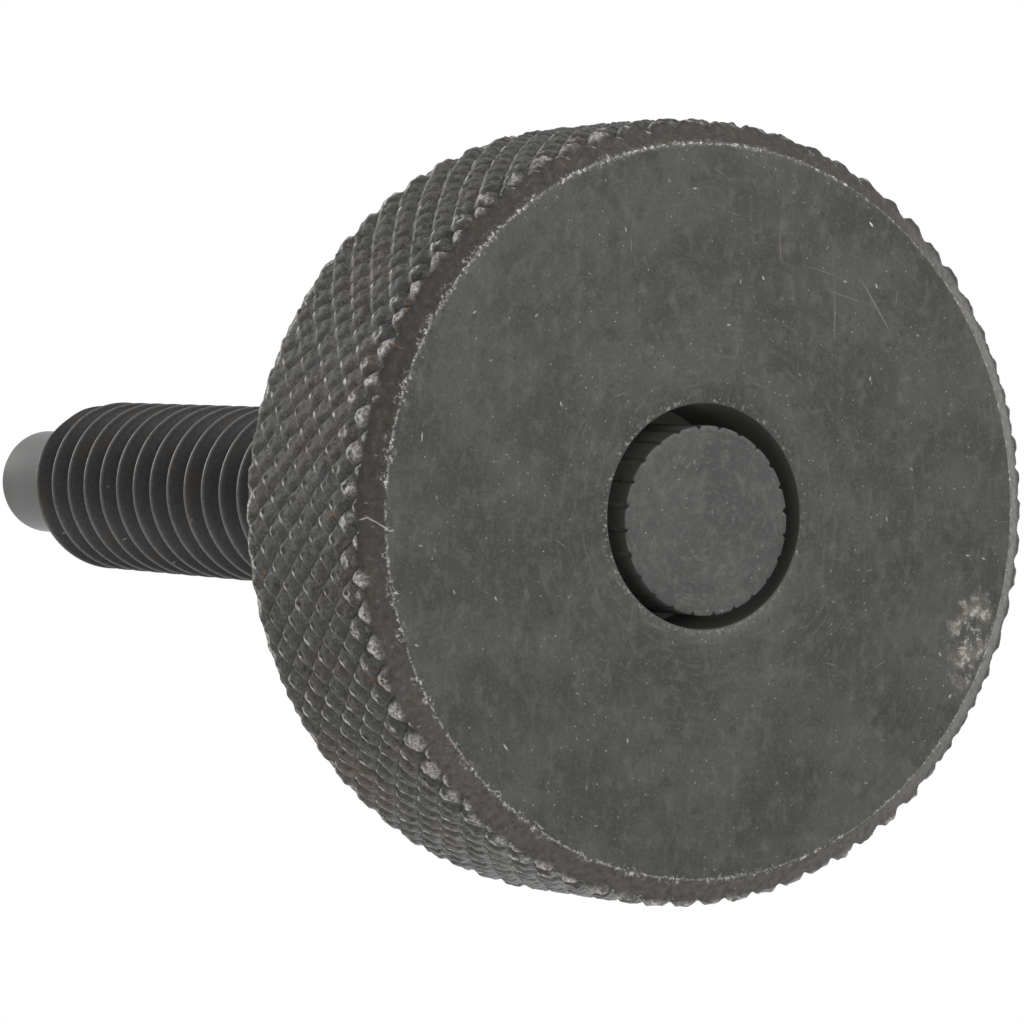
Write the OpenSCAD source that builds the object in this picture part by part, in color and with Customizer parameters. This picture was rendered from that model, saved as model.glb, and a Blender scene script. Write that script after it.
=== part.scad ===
// Knurled thumb screw in black-oxide steel. A turned head, diamond knurled round its rim and counterbored
// in the middle of its face, is pressed on the serrated end of a stud. The stud is threaded along its
// length and ends in a plain dog point. Millimetres. It stands on its head: the outer face of the head is
// at z = 0 and the stud points up the +z axis.

/* [Head] */
// Diameter over the knurl (3/4 in)
head_d = 19.05; // [12:0.05:32]
// Width of the head along the axis
head_w = 5.85; // [4.5:0.05:12]
// How far the chamfer round the outer face comes in from the rim
face_chamfer = 0.7; // [0.45:0.05:1.2]
// How far the same chamfer runs along the axis
face_chamfer_w = 0.45; // [0.3:0.05:0.9]
// 45 degree chamfer round the back face
back_chamfer = 0.3; // [0.3:0.05:0.8]
// Diameter of the counterbore round the end of the stud
counterbore_d = 5.42; // [4.9:0.02:7]
// Depth of the counterbore
counterbore_depth = 3.2; // [0.5:0.1:3.5]
// 45 degree edge break at the back mouth of the bore, which clears the crests of the thread
bore_break = 0.15; // [0.1:0.05:0.4]

/* [Knurl] */
// Diamonds round the rim
knurl_teeth = 70; // [40:2:90]
// Half rows of diamonds across the rim
knurl_half_rows = 10; // [5:1:14]
// Depth from the flat tops of the diamonds to the bottoms of the grooves
knurl_depth = 0.2; // [0.1:0.05:0.25]
// Share of a diamond's half width that is flat on top
knurl_flat = 0.42; // [0.1:0.02:0.6]

/* [Stud] */
// Major diameter of the thread (number 10)
thread_d = 4.83; // [4.65:0.01:4.87]
// Threads per inch
thread_tpi = 24; // [20:1:32]
// Length that stands out of the back of the head
stud_out = 31.45; // [20:0.05:50]
// Turn of the thread round the axis, in degrees
thread_start = 176; // [0:1:359]
// Facets in one turn of the thread
thread_facets = 22; // [16:1:40]

/* [Serrated end] */
// Diameter of the pressed end, and of the bore that holds it
shank_d = 4.58; // [4.55:0.01:4.8]
// Serrations round the pressed end
serrations = 24; // [12:1:36]
// Depth of each serration
serration_depth = 0.09; // [0.04:0.01:0.3]
// How far the end stands back from the face of the head
end_recess = 0.05; // [0:0.01:0.5]

/* [Dog point] */
// Diameter of the dog point
dog_d = 3; // [2.4:0.1:3.4]
// Length of the dog point
dog_length = 3.35; // [1:0.05:5]
// Radius of the dog point's rounded edge
dog_round = 0.3; // [0.1:0.05:0.6]

/* [Colours] */
// Colour of the head
head_colour = "#4b4b48"; // color
// Colour of the stud
stud_colour = "#3a3a39"; // color

/* [Hidden] */
$fn = 96;

head_r = head_d / 2;
face_r = head_r - face_chamfer;
back_r = head_r - back_chamfer;
knurl_columns = 2 * knurl_teeth;
knurl_front_z = face_chamfer_w;
knurl_back_z = head_w - back_chamfer;
knurl_row_step = (knurl_back_z - knurl_front_z) / knurl_half_rows;
knurl_root_r = head_r - knurl_depth;

bore_r = shank_d / 2;

pitch = 25.4 / thread_tpi;
crest_r = thread_d / 2;
root_r = crest_r - 0.61343 * pitch;
tip_z = head_w + stud_out;
shank_top_z = head_w + 0.3;
thread_top_z = tip_z - dog_length;
collar = 0.05;
thread_turns = ceil((thread_top_z - collar - head_w) / pitch) - 1;
thread_steps = thread_turns * thread_facets;
thread_z = thread_top_z - collar - (thread_turns + 1) * pitch;
chamfer_end_z = thread_top_z - collar - 7 / 16 * pitch;
// Axial place of each corner of the thread profile, as a share of the pitch: root, root, crest, crest
profile_at = [0, 1 / 4, 9 / 16, 11 / 16];
// 1 where that corner is on the crest
profile_high = [0, 0, 1, 1];

// Point on a cylinder, column counted in half pitches of the knurl
function knurl_point(column, z, r) =
  let (a = 360 * column / knurl_columns) [r * cos(a), r * sin(a), z];

// The grooves cross where column and row add up to an even number. At the two ends of the rim the
// crossings lie on the chamfers.
function crossing_z(row) =
  row == 0 ? knurl_front_z - knurl_depth * face_chamfer_w / face_chamfer
  : row == knurl_half_rows ? knurl_back_z + knurl_depth
  : knurl_front_z + row * knurl_row_step;

// First column in this row where grooves cross
function first_crossing(row) = row % 2;

// A turned blank with diamonds standing on its rim. Every ring of points has one point, or three, for
// each diamond: a groove crossing, then the corners of the flat top.
module knurled_blank() {
  t = knurl_flat;
  rows = knurl_half_rows;
  crossings = [for (row = [0:rows]) for (k = [0:knurl_teeth - 1])
    knurl_point(2 * k + first_crossing(row), crossing_z(row), knurl_root_r)];
  // left, right, front and back corners of each flat top
  corners = [for (row = [0:rows]) for (k = [0:knurl_teeth - 1])
    let (c = 2 * k + first_crossing(row) + 1, z = knurl_front_z + row * knurl_row_step)
    for (d = [[-t, 0], [t, 0], [0, row == 0 ? 0 : -t], [0, row == rows ? 0 : t]])
      knurl_point(c + d[0], z + d[1] * knurl_row_step, head_r)];
  face_ring = [for (c = [0:knurl_columns - 1]) knurl_point(c, 0, face_r)];
  back_ring = [for (c = [0:knurl_columns - 1]) knurl_point(c, head_w, back_r)];
  corner_base = len(crossings);
  face_base = corner_base + len(corners);
  back_base = face_base + knurl_columns;

  // Crossing at this column and row
  function x(column, row) =
    row * knurl_teeth + ((column + knurl_columns - first_crossing(row)) % knurl_columns) / 2;
  // Corner of the flat top at this column and row
  function k(column, row, which) = corner_base + which
    + 4 * (row * knurl_teeth + ((column + knurl_columns - 1 - first_crossing(row)) % knurl_columns) / 2);
  function f(column) = face_base + (column + knurl_columns) % knurl_columns;
  function b(column) = back_base + (column + knurl_columns) % knurl_columns;

  flanks_and_tops = [for (row = [0:rows]) for (i = [0:knurl_teeth - 1])
    let (c = 2 * i + first_crossing(row) + 1,
         l = k(c, row, 0), r = k(c, row, 1), d = k(c, row, 2), u = k(c, row, 3),
         xl = x(c - 1, row), xr = x(c + 1, row))
    each concat(
      row > 0 ? let (xd = x(c, row - 1)) [[xl, d, l], [xl, xd, d], [xr, r, d], [xr, d, xd]] : [],
      row < rows ? let (xu = x(c, row + 1)) [[xl, l, u], [xl, u, xu], [xr, u, r], [xr, xu, u]] : [],
      row > 0 && row < rows ? [[l, d, r], [l, r, u]] : row == 0 ? [[l, r, u]] : [[l, d, r]])];
  face_chamfer_skin = [for (i = [0:knurl_teeth - 1])
    let (c = 2 * i + 1, l = k(c, 0, 0), r = k(c, 0, 1), xl = x(c - 1, 0), xr = x(c + 1, 0))
    each [[f(c - 1), l, xl], [f(c - 1), f(c), l], [f(c), r, l], [f(c), f(c + 1), r], [f(c + 1), xr, r]]];
  back_chamfer_skin = [for (i = [0:knurl_teeth - 1])
    let (c = 2 * i + first_crossing(rows) + 1, l = k(c, rows, 0), r = k(c, rows, 1),
         xl = x(c - 1, rows), xr = x(c + 1, rows))
    each [[b(c - 1), xl, l], [b(c - 1), l, b(c)], [b(c), l, r], [b(c), r, b(c + 1)], [b(c + 1), r, xr]]];
  caps = [[for (c = [knurl_columns - 1:-1:0]) f(c)], [for (c = [0:knurl_columns - 1]) b(c)]];

  polyhedron(points = concat(crossings, corners, face_ring, back_ring),
             faces = [for (face = concat(flanks_and_tops, face_chamfer_skin, back_chamfer_skin, caps))
                        [for (j = [len(face) - 1:-1:0]) face[j]]],
             convexity = 6);
}

module knurled_head() {
  color(head_colour)
    difference() {
      knurled_blank();
      translate([0, 0, -1]) cylinder(r = bore_r, h = head_w + 2);
      translate([0, 0, -1]) cylinder(d = counterbore_d, h = counterbore_depth + 1);
      translate([0, 0, head_w - bore_break])
        cylinder(r1 = bore_r, r2 = bore_r + bore_break + 1, h = bore_break + 1);
    }
}

// Height of a crest over the root. The thread runs in over its first turn, inside the head, and a
// 45 degree chamfer takes it down to its root at the other end.
function thread_rise(step, z) = max(0, min((crest_r - root_r) * min(1, step / thread_facets), chamfer_end_z - z));

function thread_point(step, corner) =
  let (a = 360 * (step % thread_facets) / thread_facets,
       z = thread_z + (step / thread_facets + profile_at[corner % 4] + (corner == 4 ? 1 : 0)) * pitch,
       r = root_r + profile_high[corner % 4] * thread_rise(step, z))
  [r * cos(a), r * sin(a), z];

// The threaded length as one skin: a strip four facets wide, wound along the helix, closed by a plain
// collar of root diameter at each end.
module thread_body() {
  n = thread_facets;
  last = thread_steps;
  strip = [for (s = [0:last]) for (corner = [0:3]) thread_point(s, corner)];
  upper = [for (s = [last - n + 1:last]) thread_point(s, 4)];
  low_ring = [for (i = [0:n - 1]) [root_r * cos(360 * i / n), root_r * sin(360 * i / n), thread_z - collar]];
  top_ring = [for (i = [0:n - 1]) [root_r * cos(360 * i / n), root_r * sin(360 * i / n), thread_top_z]];
  upper_base = len(strip);
  low_base = upper_base + len(upper);
  top_base = low_base + n;

  function p(s, corner) = corner < 4 ? 4 * s + corner
    : s + n <= last ? 4 * (s + n) : upper_base + s - (last - n + 1);
  function low(i) = low_base + i % n;
  function top(i) = top_base + i % n;

  wound = [for (s = [0:last - 1]) for (c = [0:3])
    each [[p(s, c), p(s + 1, c), p(s + 1, c + 1)], [p(s, c), p(s + 1, c + 1), p(s, c + 1)]]];
  low_collar = [for (i = [0:n - 2])
    each [[low(i), low(i + 1), p(i + 1, 0)], [low(i), p(i + 1, 0), p(i, 0)]]];
  low_seam = concat([[low(n - 1), low(0), p(0, 0)]],
    [for (c = [0:3]) [low(n - 1), p(0, c), p(0, c + 1)]], [[low(n - 1), p(0, 4), p(n - 1, 0)]]);
  top_collar = [for (i = [1:n - 1]) let (s = last - n + i)
    each [[p(s, 4), p(s + 1, 4), top(last + i + 1)], [p(s, 4), top(last + i + 1), top(last + i)]]];
  top_seam = concat([[top(last + 1), top(last), p(last, 4)]],
    [for (c = [3:-1:0]) [top(last + 1), p(last, c + 1), p(last, c)]],
    [[top(last + 1), p(last, 0), p(last - n + 1, 4)]]);
  caps = [[for (i = [n - 1:-1:0]) low(i)], [for (i = [0:n - 1]) top(i)]];

  polyhedron(points = concat(strip, upper, low_ring, top_ring),
             faces = [for (face = concat(wound, low_collar, low_seam, top_collar, top_seam, caps))
                        [for (j = [len(face) - 1:-1:0]) face[j]]],
             convexity = 8);
}

// Pressed end: a plain shank a little thinner than the thread, with V-shaped serrations cut along it
module serrated_end() {
  notch = 2 * serration_depth;
  difference() {
    translate([0, 0, end_recess]) cylinder(r = bore_r, h = shank_top_z - end_recess);
    for (i = [0:serrations - 1])
      rotate(360 * (i + 0.5) / serrations)
        translate([bore_r - serration_depth, 0, -1])
          linear_extrude(shank_top_z + 2)
            polygon([[0, 0], [notch, notch], [notch, -notch]]);
  }
}

// Plain dog point with a rounded edge
module dog_point() {
  dog_r = dog_d / 2;
  rotate_extrude()
    polygon(concat(
      [[0, thread_top_z - 0.5], [dog_r, thread_top_z - 0.5], [dog_r, tip_z - dog_round]],
      [for (a = [15:15:75]) [dog_r - dog_round + dog_round * cos(a), tip_z - dog_round + dog_round * sin(a)]],
      [[dog_r - dog_round, tip_z], [0, tip_z]]));
}

module threaded_stud() {
  color(stud_colour)
    union() {
      serrated_end();
      rotate(thread_start) thread_body();
      dog_point();
    }
}

knurled_head();
threaded_stud();
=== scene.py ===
"""Looks of a knurled thumb screw in black-oxide steel: a turned and knurled head pressed on a stud."""

import logging
import math
from collections.abc import Iterable, Mapping
from dataclasses import dataclass
from enum import Enum, IntEnum
from typing import Any

import bmesh
import bpy
import numpy as np
from mathutils import Matrix, Vector


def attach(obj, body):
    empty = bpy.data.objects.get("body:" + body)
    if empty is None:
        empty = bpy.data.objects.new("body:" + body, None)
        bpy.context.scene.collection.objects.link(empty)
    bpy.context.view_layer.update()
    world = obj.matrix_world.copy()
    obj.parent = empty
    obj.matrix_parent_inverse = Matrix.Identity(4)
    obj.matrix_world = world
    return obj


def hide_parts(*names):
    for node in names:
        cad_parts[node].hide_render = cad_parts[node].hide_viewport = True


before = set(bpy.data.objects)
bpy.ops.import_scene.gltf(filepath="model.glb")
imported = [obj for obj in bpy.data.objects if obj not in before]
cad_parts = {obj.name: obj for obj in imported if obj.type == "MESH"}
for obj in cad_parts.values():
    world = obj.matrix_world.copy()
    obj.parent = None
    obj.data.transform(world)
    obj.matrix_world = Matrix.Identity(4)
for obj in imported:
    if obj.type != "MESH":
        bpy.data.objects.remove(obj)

MM = 0.001
LOG = logging.getLogger("thumb_screw")
FACE_MIDDLE = (0.04, 0.08)  # the face was turned this far off the middle of the knurled rim, mm
MOUTH_MIDDLE = (-0.076, -0.0285)  # the same for the counterbore, mm
MOUTH_R = 2.705  # radius of the counterbore, mm
RIM_R = 9.525  # radius over the knurl, mm
CHAMFER = 0.7  # how far the face's chamfer comes in from the rim, mm
TOUCHING = 1e-7  # points nearer to each other than this are one point, m
NO_EDGE = 20.0  # a radius beyond the screw, for a finish that has no such edge, mm
Array = np.ndarray
Point = tuple[float, float]  # a place on a surface laid flat, or a radius and a height
Socket = bpy.types.NodeSocket
Tree = bpy.types.NodeTree


class Layer(Enum):
    """Numbers kept on the points of a mesh, which its finish reads."""

    HEIGHT = "height"  # 0 at the bottom of a groove, 1 on top
    TURNED = "turned"  # 1 where the lathe's cut is left plain, 0 where it is knurled
    WEAR = "wear"  # 1 where the oxide is rubbed through to bare steel
    DRIFT_A = "drift_a"  # how far the grooves of the first wheel wander, in grooves
    DRIFT_B = "drift_b"  # the same for the second wheel


# ---------------------------------------------------------------- colours and nodes


def linear(colour: str) -> tuple[float, float, float, float]:
    """Turn an sRGB hex colour into the linear colour a shader takes.

    Args:
        colour: Six hex digits after a hash sign.

    Returns:
        Red, green, blue and an alpha of 1.
    """
    parts = [int(colour[i : i + 2], 16) / 255 for i in (1, 3, 5)]
    red, green, blue = (c / 12.92 if c <= 0.04045 else ((c + 0.055) / 1.055) ** 2.4 for c in parts)
    return red, green, blue, 1.0


def add(tree: Tree, kind: str, inputs: Mapping[Any, Any] | None = None, **settings: Any) -> Any:
    """Add one node to a tree, with its settings and what feeds it.

    Args:
        tree: The node tree.
        kind: Blender's name of the node, without the leading "ShaderNode".
        inputs: Value for each input, by its name or number: a number, a colour, an output or a node.
        settings: Properties of the node.

    Returns:
        The node.
    """
    made = tree.nodes.new("ShaderNode" + kind)
    for key, value in settings.items():
        setattr(made, key, value)
    for key, value in (inputs or {}).items():
        if isinstance(value, bpy.types.Node):
            value = value.outputs[0]
        if isinstance(value, Value):
            value = value.socket
        if isinstance(value, bpy.types.NodeSocket):
            tree.links.new(value, made.inputs[key])
        else:
            made.inputs[key].default_value = value
    return made


class Value:
    """A number that varies over a surface. Sums written with it become nodes.

    Masks run from 0 to 1, so "a * b" is where both are, and "a | b" is where either is.
    """

    def __init__(self, socket: Socket) -> None:
        """Hold the output that gives the number."""
        self.socket = socket

    def work(self, operation: str, *others: Any) -> "Value":
        """Work out a number from this one and the others, by Blender's name of the operation."""
        inputs = dict(enumerate((self, *others)))
        return Value(add(self.socket.id_data, "Math", inputs, operation=operation).outputs[0])

    def __add__(self, other: Any) -> "Value":
        """Sum of the two."""
        return self.work("ADD", other)

    def __sub__(self, other: Any) -> "Value":
        """This less the other."""
        return self.work("SUBTRACT", other)

    def __mul__(self, other: Any) -> "Value":
        """Product of the two."""
        return self.work("MULTIPLY", other)

    def __truediv__(self, other: Any) -> "Value":
        """This over the other."""
        return self.work("DIVIDE", other)

    def __or__(self, other: Any) -> "Value":
        """The larger of the two."""
        return self.work("MAXIMUM", other)

    def __and__(self, other: Any) -> "Value":
        """The smaller of the two."""
        return self.work("MINIMUM", other)

    def __abs__(self) -> "Value":
        """This without its sign."""
        return self.work("ABSOLUTE")

    def flipped(self) -> "Value":
        """One minus this."""
        return self.work("MULTIPLY_ADD", -1.0, 1.0)

    def step(self, low: Any, high: Any, start: Any = 0.0, end: Any = 1.0) -> "Value":
        """Smooth step of this number, which goes from start at low to end at high."""
        return Value(add(self.socket.id_data, "MapRange", {"Value": self, 1: low, 2: high, 3: start, 4: end},
                         interpolation_type="SMOOTHSTEP").outputs[0])


def split(vector: Any) -> list[Value]:
    """The three numbers of a vector or colour."""
    return [Value(socket) for socket in add(vector.id_data, "SeparateXYZ", {0: vector}).outputs]


@dataclass(frozen=True)
class Mark:
    """A straight line left on a surface, by its ends on that surface laid flat, in millimetres."""

    start: Point
    end: Point
    half_width: float
    colour: str
    strength: float


class Recipe:
    """A finish's node tree while it is being written. Its lengths are in millimetres."""

    def __init__(self, name: str) -> None:
        """Start an empty material.

        Args:
            name: The finish's name.
        """
        self.material = bpy.data.materials.new(name)
        self.material.use_nodes = True
        self.tree = self.material.node_tree
        self.tree.nodes.clear()
        self.place = self.vector("SCALE", add(self.tree, "TexCoord").outputs["Object"], scale=1 / MM)
        self.x, self.y, self.z = split(self.place)
        self.flat = self.laid(self.x, self.y)
        self.radius = self.away(self.flat, FACE_MIDDLE)
        self.angle = self.y.work("ARCTAN2", self.x)
        self.front = self.z.step(1.0, 1.5, 1.0, 0.0)  # 1 by the outer face, 0 from 1.5 mm on
        self.colour: Any = None

    def vector(self, operation: str, *vectors: Any, scale: Any = 1.0) -> Socket:
        """Work out a vector from others and a scale, by Blender's name of the operation."""
        inputs = dict(enumerate(vectors)) | {3: scale}
        return add(self.tree, "VectorMath", inputs, operation=operation).outputs[0]

    def laid(self, along: Any, across: Any, up: Any = 0.0) -> Socket:
        """Place on a surface laid flat, from its numbers."""
        return add(self.tree, "CombineXYZ", {0: along, 1: across, 2: up}).outputs[0]

    def away(self, at: Any, point: Point = (0.0, 0.0)) -> Value:
        """How far a place is from a point."""
        off = add(self.tree, "VectorMath", {0: at, 1: (*point, 0.0)}, operation="DISTANCE")
        return Value(off.outputs["Value"])

    def layer(self, layer: Layer) -> Value:
        """Read one of the mesh's layers."""
        return Value(add(self.tree, "Attribute", attribute_name=layer.value).outputs["Fac"])

    def noise(self, size: float, detail: float = 2.0, rough: float = 0.5, at: Any = None) -> Value:
        """Noise about 0.5 whose grains have this size.

        Args:
            size: Size of a grain.
            detail: How many finer octaves it has.
            rough: How strong those are.
            at: Where it is read; the place on the object where it isn't given.

        Returns:
            The noise.
        """
        return Value(add(self.tree, "TexNoise", {"Vector": self.place if at is None else at,
                                                 "Scale": 1 / size, "Detail": detail,
                                                 "Roughness": rough}).outputs[0])

    def cover(self, mask: Any, colour: str) -> None:
        """Lay an sRGB hex colour over what is there, as far as the mask from 0 to 1 says."""
        inputs = {0: mask, 6: self.colour, 7: linear(colour)}
        self.colour = add(self.tree, "Mix", inputs, data_type="RGBA").outputs[2]

    def oval(self, off: Socket, turn: Any, size: tuple[float, float]) -> Value:
        """How far a place is off the middle of an oval turned back by an angle: 1 is on its edge."""
        off = add(self.tree, "VectorRotate", {"Vector": off, "Angle": turn}, rotation_type="Z_AXIS")
        return self.away(self.vector("MULTIPLY", off, (2 / size[0], 2 / size[1], 0.0)))

    def flecks(self, at: Any, cell: float, size: tuple[float, float], share: Any, seed: float) -> Value:
        """Short marks that lie every way, at most one in each cell of a scattered net.

        Args:
            at: Place on the surface laid flat.
            cell: Mean distance between cells.
            size: Length and width of a mark.
            share: Share of the cells that have one.
            seed: Shifts the net.

        Returns:
            0 outside the marks, up to 1 on them.
        """
        net = self.vector("MULTIPLY_ADD", at, (1 / cell,) * 3, (seed, seed * 0.7, 0.0))
        cells = add(self.tree, "TexVoronoi", {"Vector": net, "Scale": 1.0}, voronoi_dimensions="2D")
        off = self.vector("SUBTRACT", net, cells.outputs["Position"])
        one, two, three = split(cells.outputs["Color"])
        far = self.oval(off, two * math.tau, (size[0] / cell, size[1] / cell))
        there = one.work("LESS_THAN", share) * far.step(0.6, 1.1, 1.0, 0.0)
        return there * (three * three * 0.75 + 0.25)

    def line(self, mark: Mark, at: Any = None) -> None:
        """Draw one straight mark, thinning out to its ends.

        Args:
            mark: The mark.
            at: The surface laid flat; the screw's end faces where it isn't given.
        """
        a, b = Vector((*mark.start, 0)), Vector((*mark.end, 0))
        turn = math.atan2(b.y - a.y, b.x - a.x)
        off = self.vector("SUBTRACT", self.flat if at is None else at, tuple((a + b) / 2))
        far = self.oval(off, -turn, ((b - a).length, 2 * mark.half_width))
        drawn = far.step(0.5, 1.05, mark.strength, 0.0)
        self.cover(drawn * self.front if at is None else drawn, mark.colour)

    def finish(self, metallic: float, roughness: Any, height: Any, depth: float,
               **more: Any) -> bpy.types.Material:
        """Close the material.

        Args:
            metallic: How far it is metal.
            roughness: Its roughness.
            height: Height of its fine relief, from 0 to 1.
            depth: Depth of that relief.
            more: Other inputs of the shader.

        Returns:
            The material.
        """
        bump = add(self.tree, "Bump", {"Strength": 1.0, "Distance": depth * MM, "Height": height})
        shader = add(self.tree, "BsdfPrincipled", {"Base Color": self.colour, "Metallic": metallic,
                                                   "Roughness": roughness, "Normal": bump, **more})
        add(self.tree, "OutputMaterial", {0: shader})
        return self.material


# ---------------------------------------------------------------- noise and rings for the meshes


def grain(points: Array, size: float, seed: int) -> Array:
    """Smooth noise in space.

    Args:
        points: Places, with x, y and z in the last axis, in millimetres.
        size: Size of one grain, in millimetres.
        seed: Whole number that picks the pattern.

    Returns:
        Values from -1 to 1.
    """
    scaled = points / size
    cell = np.floor(scaled)
    f = scaled - cell
    f = f * f * (3 - 2 * f)
    total = np.zeros(points.shape[:-1])
    for corner in range(8):
        step = np.array([corner & 1, corner >> 1 & 1, corner >> 2 & 1])
        weight = np.prod(np.where(step == 1, f, 1 - f), axis=-1)
        lot = np.sin((cell + step) @ np.array([12.9898, 78.233, 37.719]) + seed * 53.117) * 43758.5453
        total += weight * (lot - np.floor(lot))
    return 2 * total - 1


def ramp(value: Array, low: float, high: float) -> Array:
    """Smooth step from 0 at low to 1 at high."""
    t = np.clip((value - low) / (high - low), 0, 1)
    return t * t * (3 - 2 * t)


def spread(count: int) -> Array:
    """Angles of this many points, evenly round a circle."""
    return np.arange(count) * 2 * np.pi / count


def around(angle: Array, radius: Array | float, z: Array) -> Array:
    """Points round the axis, with x, y and z in the last axis."""
    return np.stack([radius * np.cos(angle), radius * np.sin(angle), z], -1)


class Skin:
    """A closed skin built ring by ring, in millimetres."""

    def __init__(self) -> None:
        """Start with no points."""
        self.points: list[Array] = []
        self.layers: dict[Layer, list[Array]] = {layer: [] for layer in Layer}
        self.faces: list[tuple[int, ...]] = []
        self.finishes: list[int] = []
        self.count = 0

    def ring(self, points: Array, marks: Mapping[Layer, Array] | None = None) -> range:
        """Add a ring of points.

        Args:
            points: One row of x, y and z for each point.
            marks: Values of the layers. Height and turned are 1, and the others 0, where they aren't given.

        Returns:
            The numbers of the points.
        """
        n = len(points)
        self.points.append(points)
        for layer in Layer:
            default = np.ones(n) if layer in (Layer.HEIGHT, Layer.TURNED) else np.zeros(n)
            self.layers[layer].append((marks or {}).get(layer, default))
        self.count += n
        return range(self.count - n, self.count)

    def circle(self, radius: float, z: float, count: int, middle: Point = (0.0, 0.0)) -> range:
        """Add a plain circle of points and return their numbers."""
        angle = spread(count)
        return self.ring(around(angle, radius, np.full(count, z)) + np.array([*middle, 0.0]))

    def join(self, lower: range, upper: range, finish: int = 0) -> None:
        """Join two rings. One may have a whole number of times as many points as the other.

        Args:
            lower: Ring that the skin comes from.
            upper: Ring that it goes to. Seen from outside, it lies on the left of the way both rings run.
            finish: Number of the material.
        """
        n, k = len(lower), len(upper)
        before = len(self.faces)
        if n == k:
            for i in range(n):
                j = (i + 1) % n
                self.faces.append((lower[j], upper[j], upper[i], lower[i]))
        else:
            few, many, flip = (lower, upper, False) if n < k else (upper, lower, True)
            share = len(many) // len(few)
            half = share // 2
            for i in range(len(few)):
                fan = [many[(i * share + s) % len(many)] for s in range(-half, share - half + 1)]
                new = [(few[i], fan[s + 1], fan[s]) for s in range(share)]
                new.append((few[i], few[(i + 1) % len(few)], fan[share]))
                self.faces += [face[::-1] for face in new] if flip else new
        self.finishes += [finish] * (len(self.faces) - before)

    def grow(self, last: range, rows: Iterable[Point], count: int, middle: Point = (0.0, 0.0),
             finish: int = 0) -> range:
        """Add plain circles one after another, each joined to the one before.

        Args:
            last: Ring to start from.
            rows: Radius and height of each circle.
            count: Points in each.
            middle: Their middle.
            finish: Number of the material.

        Returns:
            The last circle.
        """
        for radius, z in rows:
            ring = self.circle(radius, z, count, middle)
            self.join(last, ring, finish)
            last = ring
        return last

    def cap(self, ring: range, z: float, finish: int = 0, outward: int = 1) -> None:
        """Close a ring with a fan to a point on the axis.

        Args:
            ring: The ring.
            z: Height of the point on the axis.
            finish: Number of the material.
            outward: 1 where the cap faces up the axis, -1 where it faces down.
        """
        centre = self.ring(np.array([[0.0, 0.0, z]]))[0]
        n = len(ring)
        for i in range(n):
            face = (ring[i], ring[(i + 1) % n], centre)
            self.faces.append(face if outward > 0 else face[::-1])
        self.finishes += [finish] * n

    def build(self, name: str, materials: list[bpy.types.Material], sharp: float) -> bpy.types.Object:
        """Make the object.

        Args:
            name: The piece's name.
            materials: One material for each finish number.
            sharp: Angle in degrees above which an edge stays crisp.

        Returns:
            The object, linked to the scene.
        """
        points = np.concatenate(self.points) * MM
        mesh = bpy.data.meshes.new(name)
        mesh.from_pydata(points.tolist(), [], self.faces)
        for material in materials:
            mesh.materials.append(material)
        mesh.polygons.foreach_set("material_index", self.finishes)
        for layer, values in self.layers.items():
            data = mesh.attributes.new(layer.value, "FLOAT", "POINT")
            data.data.foreach_set("value", np.concatenate(values).astype(np.float32))
        self.merge(mesh)
        mesh.shade_smooth()
        mesh.set_sharp_from_angle(angle=math.radians(sharp))
        mesh.validate()
        mesh.update()
        made = bpy.data.objects.new(name, mesh)
        bpy.context.scene.collection.objects.link(made)
        return made

    def merge(self, mesh: bpy.types.Mesh) -> None:
        """Make one point of those that lie in one place, which takes out the faces squeezed flat there.

        Args:
            mesh: The mesh.
        """
        work = bmesh.new()
        work.from_mesh(mesh)
        bmesh.ops.remove_doubles(work, verts=work.verts, dist=TOUCHING)
        work.to_mesh(mesh)
        work.free()


# ---------------------------------------------------------------- finishes


@dataclass(frozen=True)
class Wheels:
    """The two knurling wheels: how their grooves wind round the rim.

    Up the axis, a groove of the first wheel winds back round it, and one of the second winds on. The first
    wheel presses a few more grooves than the second, so the rows of diamonds drift a little.
    """

    grooves_a: int = 74  # in one turn
    grooves_b: int = 67
    rise_a: float = 0.955  # grooves passed in a millimetre along the axis
    rise_b: float = 1.055
    start_a: float = 0.035
    start_b: float = 0.50


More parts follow.
